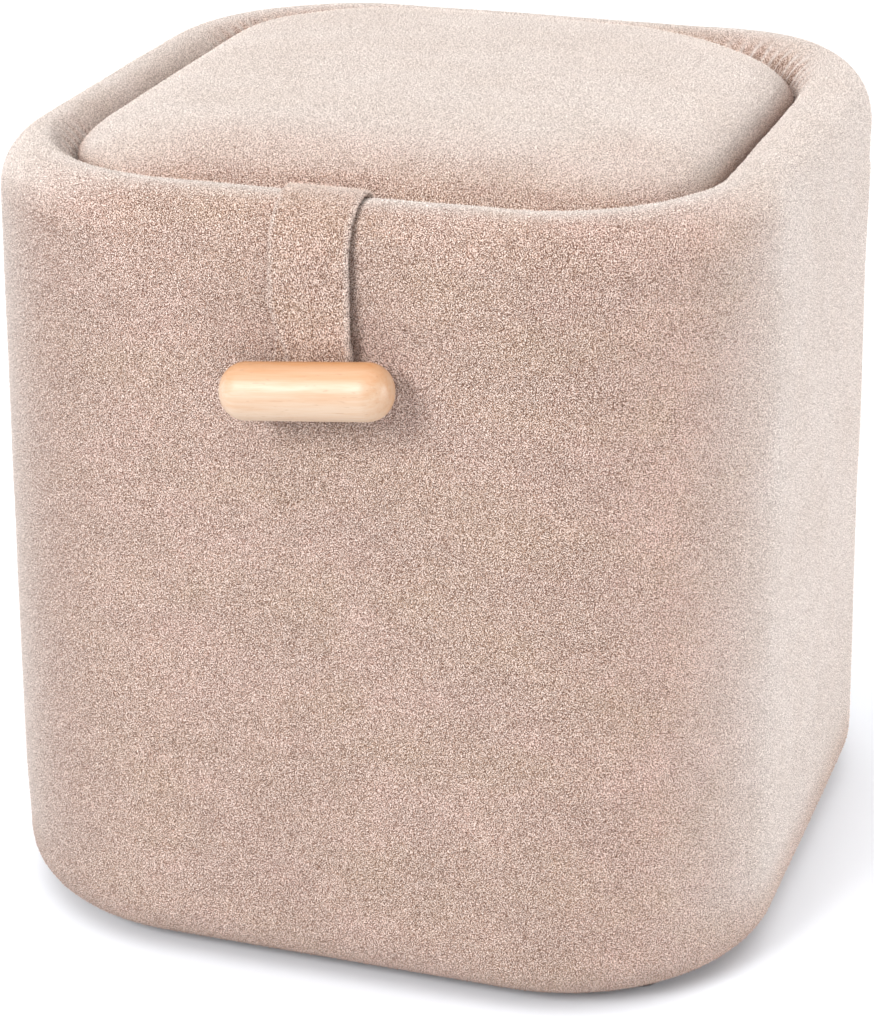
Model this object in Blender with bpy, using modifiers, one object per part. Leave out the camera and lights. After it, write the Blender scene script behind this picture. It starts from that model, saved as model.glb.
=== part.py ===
"""Cube pouf stool: a padded fleece box on four glides, with a lift-off seat lid.

Metres, +Z up. The floor is z = 0 and the front, where the pull strap hangs, faces -Y. The
origin is under the middle of the whole pouf, toggle included, so the box itself stands back
from it a little. The functions below give positions from the middle of the box, and the empty
that carries the pieces sets them back.
"""

import math

import bmesh
import bpy
import numpy as np
from mathutils import Matrix, Vector

# ---------------------------------------------------------------- driving dimensions

# box, outside
FOOT_HALF = 0.1920          # half width of the walls at the floor end
RIM_HALF = 0.1876           # half width of the walls at the rim, which leans in a little
CORNER_RADIUS = 0.104       # upright corners, in plan
SIDE_BOW = 0.0010           # how far a wall swells past straight at its middle, in plan
COVER_BOTTOM = 0.0040       # the turned-under edge above the floor
RIM_TOP = 0.3852            # crest of the rim
BOTTOM_ROUND = 0.022        # rounding of the bottom edge

# rim roll and inner wall
RIM_ROLL_HEIGHT = 0.0256    # crest of the rim above the level where its sides turn upright
INNER_HALF = 0.1480         # half width inside the rim, next to a corner
INNER_CORNER = 0.071
INNER_BOW = 0.0030          # the rim is thinner by this at the middle of each side

# storage space
LEDGE_HEIGHT = 0.3350       # step that the lid rests on
HOLLOW_HALF = 0.1414
HOLLOW_CORNER = 0.064

# base board and glides
BOARD_THICKNESS = 0.012
BOARD_HALF = 0.1680
BOARD_CORNER = 0.080
GLIDE_RADIUS = 0.012
GLIDE_HEIGHT = 0.0037
GLIDE_INSET = 0.020         # glide's outer edge in from the wall, at a corner

# seat lid
PAD_FOOT_HALF = 0.1444
PAD_FOOT_CORNER = 0.068
PAD_SHOULDER_HALF = 0.1485
PAD_SHOULDER_CORNER = 0.069
PAD_BOW = 0.0012
PAD_SHOULDER_HEIGHT = 0.3712
PAD_CROWN = 0.0310          # crown above the widest level of the side
PAD_CROWN_POWER = 4.0       # the crown is flat in the middle and falls off near the edge
PAD_CROWN_ROUND = 0.55      # below 1 the crown turns down into the side in a round shoulder
PAD_FOOT_ROUND = 0.004

# pull strap
STRAP_THICKNESS = 0.0020
STRAP_CLEARANCE = 0.0020    # strap to cover, over the rim and down the front
STRAP_INNER_END = 0.3720    # where the strap comes out from beside the lid
STRAP_FRONT_END = 0.3000    # where the front layer turns back behind the toggle
STRAP_BACK_END = 0.3270     # end of the layer that is turned back
STRAP_LAYER_PITCH = 0.0026  # middle of one layer to the middle of the other

# front layer: height, left edge, right edge
STRAP_FRONT_ROWS = (
    (0.300, -0.0115, 0.0185),
    (0.320, -0.0115, 0.0185),
    (0.330, -0.0170, 0.0180),
    (0.340, -0.0200, 0.0175),
    (0.350, -0.0205, 0.0175),
    (0.367, -0.0205, 0.0185),
    (0.382, -0.0203, 0.0192),
    (0.390, -0.0200, 0.0205),
)

# back layer: height, left edge, right edge
STRAP_BACK_ROWS = (
    (0.300, -0.0130, 0.0190),
    (0.312, -0.0190, 0.0188),
    (0.327, -0.0165, 0.0180),
)

# toggle
TOGGLE_RADIUS = 0.0130
TOGGLE_LENGTH = 0.0810
TOGGLE_END_ROUND = 0.0118
TOGGLE_CENTRE_X = 0.0024
TOGGLE_CENTRE_Z = 0.3064
TOGGLE_TILT = math.radians(6.0)
TOGGLE_SEAT_DEPTH = 0.0030
TOGGLE_SEAT_LENGTH = 0.0440

# fits and fineness
GAP = 0.0003                # between pieces that touch
CORNER_STEPS = 13
SIDE_STEPS = 6
WALL_STEPS = 4
FILLET_STEPS = 4
ROLL_STEPS = 14
CROWN_STEPS = 12
CROWN_INNERMOST = 0.13      # the crown's flat middle, as a share of its half width

COLOURS = {
    "fleece": ((0.60, 0.44, 0.36), 0.95),
    "dark_board": ((0.035, 0.033, 0.032), 0.85),
    "black_plastic": ((0.015, 0.015, 0.016), 0.45),
    "beech": ((0.80, 0.52, 0.30), 0.42),
}


# ---------------------------------------------------------------- helpers

def clear_scene():
    """Remove the objects of the file that the script is run in."""
    for thing in list(bpy.data.objects):
        bpy.data.objects.remove(thing, do_unlink=True)


def make_collection(name):
    """Return a new collection in the scene."""
    group = bpy.data.collections.new(name)
    bpy.context.scene.collection.children.link(group)
    return group


def make_material(piece_name, finish):
    """Return a Principled material of its own for one piece."""
    colour, roughness = COLOURS[finish]
    material = bpy.data.materials.new(piece_name + "_" + finish)
    material.use_nodes = True
    shader = material.node_tree.nodes["Principled BSDF"]
    shader.inputs["Base Color"].default_value = (*colour, 1.0)
    shader.inputs["Roughness"].default_value = roughness
    shader.inputs["Metallic"].default_value = 0.0
    return material


def add_piece(name, bm, group, finish):
    """Make a named object from a bmesh, with its own material."""
    bmesh.ops.recalc_face_normals(bm, faces=bm.faces)
    mesh = bpy.data.meshes.new(name)
    bm.to_mesh(mesh)
    bm.free()
    mesh.materials.append(make_material(name, finish))
    mesh.shade_smooth()
    mesh.set_sharp_from_angle(angle=math.radians(40))
    piece = bpy.data.objects.new(name, mesh)
    group.objects.link(piece)
    return piece


def rounded_square(half, radius, bow, height):
    """Points of a square ring with round corners and softly swelling sides."""
    straight = half - radius
    points = []
    for quarter in range(4):
        turn = Matrix.Rotation(quarter * math.pi / 2, 4, "Z")
        ring = []
        for step in range(SIDE_STEPS):
            along = -straight + 2 * straight * step / SIDE_STEPS
            ring.append((half, along))
        for step in range(CORNER_STEPS):
            angle = math.pi / 2 * step / CORNER_STEPS
            ring.append((straight + radius * math.cos(angle), straight + radius * math.sin(angle)))
        for x, y in ring:
            swollen_x = x + bow * (1 - (y / half) ** 2)
            swollen_y = y + bow * (1 - (x / half) ** 2)
            points.append(turn @ Vector((swollen_x, swollen_y, height)))
    return points


def loft(rings, closed):
    """Join rings of points into one skin, closed into a loop or capped at both ends."""
    bm = bmesh.new()
    loops = [[bm.verts.new(point) for point in ring] for ring in rings]
    pairs = list(zip(loops, loops[1:]))
    if closed:
        pairs.append((loops[-1], loops[0]))
    else:
        bm.faces.new(loops[0])
        bm.faces.new(loops[-1])
    for lower, upper in pairs:
        for index in range(len(lower)):
            after = (index + 1) % len(lower)
            bm.faces.new((lower[index], lower[after], upper[after], upper[index]))
    return bm


def wall_half(height):
    """Half width of the box's outside at a height: the walls lean in towards the rim."""
    share = (height - COVER_BOTTOM) / (RIM_TOP - COVER_BOTTOM)
    return FOOT_HALF + (RIM_HALF - FOOT_HALF) * share


# ---------------------------------------------------------------- box

def rim_ring(angle):
    """One ring of the rim roll: angle 0 is its outer side, pi its inner side."""
    height = RIM_TOP - RIM_ROLL_HEIGHT * (1 - math.sin(angle))
    inward = (1 - math.cos(angle)) / 2
    outer_half = wall_half(height)
    half = outer_half + (INNER_HALF - outer_half) * inward
    corner = CORNER_RADIUS + (INNER_CORNER - CORNER_RADIUS) * inward
    bow = SIDE_BOW + (INNER_BOW - SIDE_BOW) * inward
    return rounded_square(half, corner, bow, height)


def make_box_cover(group, carrier):
    """The padded wall: outside, rim roll, inner wall with the lid's step, bottom edge."""
    board_top = COVER_BOTTOM + BOARD_THICKNESS + GAP
    rebate_half = BOARD_HALF + GAP
    rebate_corner = BOARD_CORNER + GAP
    roll_foot = RIM_TOP - RIM_ROLL_HEIGHT
    wall_foot = COVER_BOTTOM + BOTTOM_ROUND
    rings = [
        rounded_square(HOLLOW_HALF, HOLLOW_CORNER, 0.0, board_top),
        rounded_square(HOLLOW_HALF, HOLLOW_CORNER, 0.0, LEDGE_HEIGHT),
        rounded_square(INNER_HALF, INNER_CORNER, INNER_BOW, LEDGE_HEIGHT),
    ]
    for step in range(ROLL_STEPS + 1):
        rings.append(rim_ring(math.pi * (1 - step / ROLL_STEPS)))
    for step in range(1, WALL_STEPS + 1):
        height = roll_foot + (wall_foot - roll_foot) * step / WALL_STEPS
        rings.append(rounded_square(wall_half(height), CORNER_RADIUS, SIDE_BOW, height))
    for step in range(1, FILLET_STEPS + 1):
        angle = math.pi / 2 * step / FILLET_STEPS
        inward = BOTTOM_ROUND * (1 - math.cos(angle))
        height = wall_foot - BOTTOM_ROUND * math.sin(angle)
        half = wall_half(wall_foot) - inward
        rings.append(rounded_square(half, CORNER_RADIUS - inward, SIDE_BOW, height))
    rings.append(rounded_square(rebate_half, rebate_corner, 0.0, COVER_BOTTOM))
    rings.append(rounded_square(rebate_half, rebate_corner, 0.0, board_top))
    cover = add_piece("box_cover", loft(rings, closed=True), group, "fleece")
    cover.parent = carrier


def make_base_panel(group, carrier):
    """The dark board that closes the bottom, flush with the cover's turned-under edge."""
    rings = [
        rounded_square(BOARD_HALF, BOARD_CORNER, 0.0, COVER_BOTTOM),
        rounded_square(BOARD_HALF, BOARD_CORNER, 0.0, COVER_BOTTOM + BOARD_THICKNESS),
    ]
    panel = add_piece("base_panel", loft(rings, closed=False), group, "dark_board")
    panel.parent = carrier


def make_glides(group, carrier):
    """Four round glides under the corners."""
    corner_centre = FOOT_HALF - CORNER_RADIUS
    reach = (CORNER_RADIUS - GLIDE_INSET - GLIDE_RADIUS) / math.sqrt(2)
    place = corner_centre + reach
    for depth_name, depth_side in (("front", -1), ("back", 1)):
        for side_name, side in (("left", -1), ("right", 1)):
            bm = bmesh.new()
            bmesh.ops.create_cone(
                bm, cap_ends=True, segments=24, radius1=GLIDE_RADIUS * 0.92,
                radius2=GLIDE_RADIUS, depth=GLIDE_HEIGHT,
            )
            name = "glide_" + depth_name + "_" + side_name
            glide = add_piece(name, bm, group, "black_plastic")
            glide.location = (side * place, depth_side * place, GLIDE_HEIGHT / 2)
            glide.parent = carrier


# ---------------------------------------------------------------- lid

def make_seat_pad(group, lid):
    """The padded lid: flat underside, side drawn in downwards, round shoulder, crown."""
    foot = LEDGE_HEIGHT + GAP
    shoulder = PAD_SHOULDER_HEIGHT
    inset_foot = PAD_FOOT_HALF - PAD_FOOT_ROUND
    rings = [
        rounded_square(inset_foot, PAD_FOOT_CORNER - PAD_FOOT_ROUND, PAD_BOW, foot),
        rounded_square(PAD_FOOT_HALF, PAD_FOOT_CORNER, PAD_BOW, foot + PAD_FOOT_ROUND),
    ]
    for share in (0.5, 1.0):
        half = PAD_FOOT_HALF + (PAD_SHOULDER_HALF - PAD_FOOT_HALF) * share
        corner = PAD_FOOT_CORNER + (PAD_SHOULDER_CORNER - PAD_FOOT_CORNER) * share
        height = foot + PAD_FOOT_ROUND + (shoulder - foot - PAD_FOOT_ROUND) * share
        rings.append(rounded_square(half, corner, PAD_BOW, height))
    for step in range(1, CROWN_STEPS + 1):
        factor = 1 - (1 - CROWN_INNERMOST) * (step / CROWN_STEPS) ** 2
        height = shoulder + PAD_CROWN * (1 - factor ** PAD_CROWN_POWER) ** PAD_CROWN_ROUND
        half = PAD_SHOULDER_HALF * factor
        rings.append(rounded_square(half, PAD_SHOULDER_CORNER * factor, PAD_BOW * factor, height))
    pad = add_piece("seat_pad", loft(rings, closed=False), group, "fleece")
    pad.parent = lid


def front_face(height):
    """Y of the cover's front at the middle of the wall."""
    return -(wall_half(height) + SIDE_BOW)


def strap_path():
    """Middle line of the strap as (y, z, layer), from beside the lid to the turned-back end."""
    standoff = STRAP_CLEARANCE + STRAP_THICKNESS / 2
    roll_foot = RIM_TOP - RIM_ROLL_HEIGHT
    outer = front_face(RIM_TOP)
    inner = -(INNER_HALF + INNER_BOW)
    centre = (outer + inner) / 2
    reach = (inner - outer) / 2
    start_angle = math.asin((STRAP_INNER_END - roll_foot) / RIM_ROLL_HEIGHT)
    path = []
    for angle in np.linspace(start_angle, math.pi, 15):
        normal_y = math.cos(angle) / reach
        normal_z = math.sin(angle) / RIM_ROLL_HEIGHT
        length = math.hypot(normal_y, normal_z)
        y = centre + reach * math.cos(angle) + standoff * normal_y / length
        z = roll_foot + RIM_ROLL_HEIGHT * math.sin(angle) + standoff * normal_z / length
        path.append((y, z, "front"))
    for height in np.linspace(roll_foot, STRAP_FRONT_END, 8)[1:]:
        share = (roll_foot - height) / (roll_foot - STRAP_BACK_END + GAP)
        ease = min(1.0, share) ** 2
        path.append((front_face(height) - standoff - STRAP_LAYER_PITCH * ease, height, "front"))
    turn_radius = STRAP_LAYER_PITCH / 2
    turn_centre = front_face(STRAP_FRONT_END) - standoff - turn_radius
    for angle in np.linspace(0, math.pi, 7)[1:]:
        y = turn_centre - turn_radius * math.cos(angle)
        path.append((y, STRAP_FRONT_END - turn_radius * math.sin(angle), "back"))
    for height in np.linspace(STRAP_FRONT_END, STRAP_BACK_END, 4)[1:]:
        path.append((front_face(height) - standoff, height, "back"))
    return path


def strap_edges(height, layer):
    """Left and right edge of a strap layer at a height."""
    rows = STRAP_FRONT_ROWS if layer == "front" else STRAP_BACK_ROWS
    heights, lefts, rights = zip(*rows)
    return np.interp(height, heights, lefts), np.interp(height, heights, rights)


def make_pull_strap(group, lid):
    """The strap: an open band along its path, given its thickness by Solidify."""
    bm = bmesh.new()
    columns = 5
    grid = []
    for y, z, layer in strap_path():
        left, right = strap_edges(z, layer)
        grid.append([bm.verts.new((x, y, z)) for x in np.linspace(left, right, columns)])
    for row, following in zip(grid, grid[1:]):
        for index in range(columns - 1):
            bm.faces.new((row[index], following[index], following[index + 1], row[index + 1]))
    strap = add_piece("pull_strap", bm, group, "fleece")
    thickness = strap.modifiers.new("thickness", "SOLIDIFY")
    thickness.thickness = STRAP_THICKNESS
    thickness.offset = 0.0
    thickness.use_even_offset = True
    strap.parent = lid


def toggle_axis_y():
    """Y of the toggle's axis: its seat lies against the strap's front layer."""
    strap_front = front_face(STRAP_FRONT_END) - STRAP_CLEARANCE - STRAP_LAYER_PITCH
    strap_front -= STRAP_THICKNESS + GAP
    return strap_front - (TOGGLE_RADIUS - TOGGLE_SEAT_DEPTH)


def make_toggle(group, cutters, lid):
    """A turned dowel with round ends, lying along X, with a flat seat cut in its back."""
    straight = TOGGLE_LENGTH / 2 - TOGGLE_END_ROUND
    flat = TOGGLE_RADIUS - TOGGLE_END_ROUND
    bm = bmesh.new()
    profile = [(flat + TOGGLE_END_ROUND * math.sin(turn), straight + TOGGLE_END_ROUND * math.cos(turn))
               for turn in np.linspace(0, math.pi / 2, 8)]
    profile = [(0.0, TOGGLE_LENGTH / 2)] + profile
    profile += [(radius, -along) for radius, along in reversed(profile)]
    verts = [bm.verts.new((radius, 0.0, along)) for radius, along in profile]
    for before, after in zip(verts, verts[1:]):
        bm.edges.new((before, after))
    mesh = bpy.data.meshes.new("toggle")
    bm.to_mesh(mesh)
    bm.free()
    mesh.materials.append(make_material("toggle", "beech"))
    toggle = bpy.data.objects.new("toggle", mesh)
    group.objects.link(toggle)
    turned = toggle.modifiers.new("turned", "SCREW")
    turned.axis = "Z"
    turned.angle = math.radians(360)
    turned.steps = 32
    turned.render_steps = 32
    turned.use_merge_vertices = True
    turned.merge_threshold = 0.00005
    turned.use_smooth_shade = True

    cutter_bm = bmesh.new()
    bmesh.ops.create_cube(cutter_bm, size=1.0)
    cutter_mesh = bpy.data.meshes.new("toggle_seat_cutter")
    bmesh.ops.scale(
        cutter_bm, verts=cutter_bm.verts,
        vec=(TOGGLE_RADIUS, TOGGLE_RADIUS * 3, TOGGLE_SEAT_LENGTH),
    )
    cutter_bm.to_mesh(cutter_mesh)
    cutter_bm.free()
    cutter = bpy.data.objects.new("toggle_seat_cutter", cutter_mesh)
    cutters.objects.link(cutter)
    cutter.hide_render = True
    cutter.display_type = "WIRE"
    seat = toggle.modifiers.new("strap_seat", "BOOLEAN")
    seat.operation = "DIFFERENCE"
    seat.solver = "EXACT"
    seat.object = cutter

    # the turned piece's Z becomes the toggle's length along X, and its X the way to the wall
    lay_down = Matrix(((0, 0, 1, 0), (1, 0, 0, 0), (0, 1, 0, 0), (0, 0, 0, 1)))
    tilt = Matrix.Rotation(-TOGGLE_TILT, 4, "Y")
    place = Matrix.Translation((TOGGLE_CENTRE_X, toggle_axis_y(), TOGGLE_CENTRE_Z))
    toggle.matrix_world = place @ tilt @ lay_down
    cutter_shift = TOGGLE_RADIUS - TOGGLE_SEAT_DEPTH + TOGGLE_RADIUS / 2
    cutter.matrix_world = place @ tilt @ lay_down @ Matrix.Translation((cutter_shift, 0, 0))
    toggle.parent = lid
    cutter.parent = lid


# ---------------------------------------------------------------- the pouf

def box_set_back():
    """How far the middle of the box stands behind the middle of the whole, toggle included."""
    box_reach = wall_half(COVER_BOTTOM + BOTTOM_ROUND) + SIDE_BOW
    toggle_reach = TOGGLE_RADIUS - toggle_axis_y()
    return (toggle_reach - box_reach) / 2


def main():
    """Make the collections, the empties that carry the pieces, and the pieces."""
    clear_scene()
    pouf = make_collection("cube_pouf_stool")
    cutters = make_collection("cutters")
    box = bpy.data.objects.new("box", None)
    box.location = (0.0, box_set_back(), 0.0)
    lid = bpy.data.objects.new("lid_lift", None)
    lid.parent = box
    pouf.objects.link(box)
    pouf.objects.link(lid)
    make_box_cover(pouf, box)
    make_base_panel(pouf, box)
    make_glides(pouf, box)
    make_seat_pad(pouf, lid)
    make_pull_strap(pouf, lid)
    make_toggle(pouf, cutters, lid)


main()
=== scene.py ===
"""Cube pouf stool: the looks of its fleece, strap, toggle and base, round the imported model.

The file is laid out as an add-on and is run as a script. Each operator makes one piece, or a
group of like pieces, at its real size. Metres, +Z up, and the front with the strap faces -Y.
"""

import math

import bmesh
import bpy
import numpy as np
from bpy.props import FloatProperty, FloatVectorProperty, IntProperty, PointerProperty
from bpy.types import Operator, Panel, PropertyGroup
from mathutils import Matrix, Vector, noise


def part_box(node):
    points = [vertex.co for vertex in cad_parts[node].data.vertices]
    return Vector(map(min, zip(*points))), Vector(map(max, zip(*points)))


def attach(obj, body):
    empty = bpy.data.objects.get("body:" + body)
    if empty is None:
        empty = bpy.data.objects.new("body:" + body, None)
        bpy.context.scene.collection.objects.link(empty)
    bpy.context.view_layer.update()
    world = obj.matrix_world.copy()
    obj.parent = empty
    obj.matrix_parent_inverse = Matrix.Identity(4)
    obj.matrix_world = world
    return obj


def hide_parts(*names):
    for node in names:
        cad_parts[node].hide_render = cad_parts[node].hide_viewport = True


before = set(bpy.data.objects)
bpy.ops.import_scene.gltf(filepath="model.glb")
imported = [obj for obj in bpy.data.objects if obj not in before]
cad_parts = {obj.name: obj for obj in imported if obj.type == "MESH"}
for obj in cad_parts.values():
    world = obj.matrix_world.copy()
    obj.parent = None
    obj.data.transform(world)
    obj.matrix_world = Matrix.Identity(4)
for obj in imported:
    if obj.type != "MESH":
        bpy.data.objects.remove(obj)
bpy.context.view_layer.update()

bl_info = {
    "name": "Cube pouf stool",
    "version": (1, 0, 0),
    "blender": (4, 5, 0),
    "location": "3D View > Sidebar > Pouf",
    "description": "Makes the fleece cover, seat, strap, toggle, pile and stage of a pouf stool",
    "category": "Object",
}

COVER_LOW, COVER_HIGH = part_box("box_cover")
SEAT_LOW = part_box("seat_pad")[0]
TOGGLE_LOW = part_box("toggle")[0]
PANEL_LOW, PANEL_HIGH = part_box("base_panel")
BOX_MIDDLE = Vector(((COVER_LOW.x + COVER_HIGH.x) / 2, (COVER_LOW.y + COVER_HIGH.y) / 2, 0.0))

# front layer of the strap: height, left edge, right edge
STRAP_FRONT_ROWS = (
    (0.300, -0.0115, 0.0185),
    (0.320, -0.0115, 0.0185),
    (0.330, -0.0170, 0.0180),
    (0.340, -0.0200, 0.0175),
    (0.350, -0.0205, 0.0172),
    (0.367, -0.0205, 0.0168),
    (0.382, -0.0203, 0.0168),
    (0.390, -0.0200, 0.0178),
)

# back layer of the strap: height, left edge, right edge
STRAP_BACK_ROWS = (
    (0.300, -0.0130, 0.0190),
    (0.312, -0.0190, 0.0188),
    (0.327, -0.0165, 0.0180),
)


# ---------------------------------------------------------------- sizes and colours

def length(name, description, default):
    """A size in metres."""
    return FloatProperty(name=name, description=description, default=default, unit="LENGTH",
                         precision=5)


def share(name, description, default):
    """A plain number between nothing and all."""
    return FloatProperty(name=name, description=description, default=default, subtype="FACTOR")


def colour(name, description, default):
    """A linear colour."""
    return FloatVectorProperty(name=name, description=description, default=default,
                               subtype="COLOR", size=3, min=0.0, max=1.0)


class PoufCoverSizes(PropertyGroup):
    """Sizes of the box's padded cover."""

    corner: length("Corner", "Radius of the upright corners in plan", 0.1040)
    swell: length("Swell", "How far a wall swells at its middle", 0.0010)
    lean: length("Lean", "How much narrower half the box is at the rim than at its foot", 0.00415)
    bottom_round: length("Bottom round", "Rounding of the turned-under edge", 0.022)
    roll_height: length("Roll height", "Height of the round part of the rim", 0.0256)
    inner_half: length("Inner half", "Half width inside the rim", 0.1480)
    inner_corner: length("Inner corner", "Corner radius inside the rim", 0.071)
    inner_swell: length("Inner swell", "How much thinner the rim is at mid side", 0.0030)
    ledge: length("Ledge", "Height of the step that the lid rests on", 0.3350)
    hollow_half: length("Hollow half", "Half width of the storage space", 0.1414)
    hollow_corner: length("Hollow corner", "Corner radius of the storage space", 0.064)
    panel_gap: length("Panel gap", "Room round the base panel", 0.0003)
    panel_corner: length("Panel corner", "Corner radius of the base panel", 0.080)
    under_pile: length("Under pile", "How far the cloth lies inside the tips of its pile", 0.0006)
    seam_depth: length("Seam depth", "Depth of the upright seam in the front", 0.0008)
    seam_width: length("Seam width", "Width of the upright seam in the front", 0.0026)
    seam_top_x: length("Seam top", "Where the seam is under the rim", -0.0086)
    seam_foot_x: length("Seam foot", "Where the seam is at the floor", -0.0163)
    pucker: length("Pucker", "Depth of the puckers inside the rim's corners", 0.0024)
    right_fullness: length("Right fullness", "How much fuller the rim's right side is inwards",
                           0.0014)
    corner_fullness: length("Corner fullness", "How much fuller the rim's back right corner is",
                            0.0031)
    tightness: length("Tightness", "How far the front left inner corner lies outwards", 0.0052)
    left_fullness: length("Left fullness", "How much fuller the left wall is", 0.0012)
    dent: length("Dent", "How far the strap presses the rim in", 0.0009)
    unevenness: length("Unevenness", "Hand-padded unevenness of walls and rim", 0.0005)


class PoufSeatSizes(PropertyGroup):
    """Sizes of the padded lid."""

    foot_half: length("Foot half", "Half width of the lid's flat underside", 0.1444)
    shoulder_half: length("Shoulder half", "Half width at the widest level", 0.1502)
    shoulder_corner: length("Shoulder corner", "Corner radius at the widest level", 0.0700)
    swell: length("Swell", "How far a side swells at its middle", 0.0022)
    shoulder: length("Shoulder", "Height of the widest level", 0.3730)
    crown: length("Crown", "Height of the crown above the widest level", 0.0290)
    power: FloatProperty(name="Power", description="How flat the crown's middle is", default=4.3)
    roundness: share("Roundness", "How round the crown turns into the side", 0.50)
    droop: share("Droop", "How much lower the crown is toward its corners", 0.06)
    back_droop: length("Back droop", "How much lower the crown's back right corner is", 0.0045)
    puff: length("Puff", "How far the filling may push the cloth out", 0.0012)
    cells: IntProperty(name="Cells", description="Cells across the crown", default=56)


class PoufStrapSizes(PropertyGroup):
    """Sizes of the pull strap."""

    thickness: length("Thickness", "Two layers of cloth, sewn together", 0.0026)
    crest_gap: length("Crest gap", "Middle of the strap above the rim's crest", 0.0015)
    front_gap: length("Front gap", "Middle of the strap before the wall", 0.0039)
    layer_pitch: length("Layer pitch", "From layer to layer where it is doubled", 0.0026)
    inner_end: length("Inner end", "Height of the end sewn to the lid's side", 0.3420)
    front_end: length("Front end", "Height of the fold behind the toggle", 0.3000)
    back_end: length("Back end", "Height of the end that is turned back", 0.3270)
    stitch_inset: length("Stitch inset", "Stitch line in from the edge", 0.0027)
    stitch_depth: length("Stitch depth", "Depth of the stitch line", 0.0007)


class PoufToggleSizes(PropertyGroup):
    """Sizes of the turned toggle."""

    radius: length("Radius", "Radius of the dowel", 0.0130)
    long: length("Length", "Length of the dowel", 0.0800)
    end_round: length("End round", "Rounding of its ends", 0.0118)
    tilt: FloatProperty(name="Tilt", description="Lean of the toggle, right end up",
                        default=math.radians(6.0), subtype="ANGLE")
    centre_x: length("Centre x", "Middle of the toggle along X", 0.0019)
    centre_z: length("Centre z", "Middle of the toggle above the floor", 0.3064)
    seat_depth: length("Seat depth", "Depth of the flat that the strap lies in", 0.0030)
    seat_length: length("Seat length", "Length of the flat", 0.0440)


class PoufPileSizes(PropertyGroup):
    """Sizes of the fleece's pile."""

    pitch: length("Pitch", "Least distance between two tufts", 0.00130)
    crowding: FloatProperty(name="Crowding", description="Tufts tried in a pitch squared",
                            default=0.95)
    width: length("Width", "Width of a tuft at its root", 0.00070)
    height: length("Height", "Height of a tuft", 0.00095)
    sunk: length("Sunk", "How deep a tuft's root is in the cloth", 0.00025)
    lean: FloatProperty(name="Lean", description="Most that a tuft leans over",
                        default=math.radians(38.0), subtype="ANGLE")
    seed: IntProperty(name="Seed", description="Choice of the tufts' places", default=11)


class PoufColours(PropertyGroup):
    """Colours of the finishes."""

    fleece_pink: colour("Fleece pink", "Pile brushed one way", (0.785, 0.482, 0.395))
    fleece_olive: colour("Fleece olive", "Pile brushed the other way", (0.640, 0.414, 0.270))
    # deeper tone of laid pile, also painted shade at the front left corner
    fleece_deep_and_shade: colour("Fleece deep", "Pile laid away from the light", (0.520, 0.318, 0.240))
    # light ends of the curls, and the painted highlight along the strap's edges
    fleece_tip_and_highlight: colour("Fleece tip", "Light ends of the curls", (0.88, 0.735, 0.660))
    # painted sheen, mixed in where the pile is seen along the cloth
    fleece_sheen: colour("Fleece sheen", "Pile seen along the cloth", (1.0, 0.905, 0.840))
    # painted shade in the pits between the curls and at the roots of tufts
    pit: colour("Pit", "Between the tufts", (0.085, 0.034, 0.018))
    # painted shade of the pile in the crevice, at the foot, along the seam and beside the strap
    crevice: colour("Crevice", "Pile in the crevice and in the dark under edges",
                    (0.30, 0.125, 0.068))
    beech: colour("Beech", "Light beech", (0.548, 0.400, 0.285))
    # deeper growth of the beech, also the painted warm reflection and shade on the toggle's upper
    # side
    beech_deep_and_top_shade: colour("Beech deep", "Deeper growth of the beech", (0.468, 0.198, 0.058))
    beech_fleck: colour("Beech fleck", "Short flecks in the beech", (0.33, 0.18, 0.10))
    board: colour("Board", "Cloth on the base board", (0.035, 0.033, 0.032))
    glide: colour("Glide", "Moulded glides", (0.018, 0.018, 0.019))
    floor: colour("Floor", "Studio floor", (0.785, 0.808, 0.845))


class PoufStage(PropertyGroup):
    """Camera, lights and floor."""

    turn: FloatProperty(name="Turn", description="Camera's turn to the right of the front",
                        default=math.radians(18.591), subtype="ANGLE")
    rise: FloatProperty(name="Rise", description="Camera's angle above level",
                        default=math.radians(22.783), subtype="ANGLE")
    roll: FloatProperty(name="Roll", description="Camera's roll",
                        default=math.radians(-0.307), subtype="ANGLE")
    distance: length("Distance", "Camera to its target", 1.5702)
    target_x: length("Target x", "Target to the right of the box's middle", -0.0081)
    target_z: length("Target z", "Target above the floor", 0.1668)
    lens: FloatProperty(name="Lens", description="Focal length in millimetres", default=108.40)
    sky: FloatProperty(name="Sky", description="Strength of the white surroundings", default=0.70)
    ceiling: FloatProperty(name="Ceiling", description="Ceiling softbox in watts", default=176.0)
    key: FloatProperty(name="Key", description="Softbox at the left front in watts", default=191.0)
    side: FloatProperty(name="Side", description="Softbox at the right in watts", default=3.9)
    floor_half: length("Floor half", "Half width of the floor", 5.0)


# ---------------------------------------------------------------- help with meshes

def link_piece(name, mesh, material):
    """Put a finished mesh in the scene as a piece, at the origin, with its material."""
    piece = bpy.data.objects.new(name, mesh)
    bpy.context.scene.collection.objects.link(piece)
    mesh.materials.clear()
    mesh.materials.append(material)
    mesh.shade_smooth()
    return piece


def put_in_order(bm):
    """Sort edges and faces by their vertices: an extrusion leaves them in no fixed order."""
    count = len(bm.verts)
    bm.verts.index_update()

    def by_vertices(item):
        number = 0
        for index in sorted(vert.index for vert in item.verts)[:3]:
            number = number * count + index
        return number

    bm.edges.sort(key=by_vertices)
    bm.faces.sort(key=by_vertices)


def mesh_from(name, bm):
    """Turn a bmesh into a mesh with its faces outwards, and free it."""
    bmesh.ops.remove_doubles(bm, verts=bm.verts, dist=0.000001)
    bmesh.ops.recalc_face_normals(bm, faces=bm.faces)
    put_in_order(bm)
    mesh = bpy.data.meshes.new(name)
    bm.to_mesh(mesh)
    bm.free()
    return mesh


def baked_mesh(piece):
    """A mesh of the piece with its modifiers in it."""
    graph = bpy.context.evaluated_depsgraph_get()
    graph.update()
    return bpy.data.meshes.new_from_object(piece.evaluated_get(graph))


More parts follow.
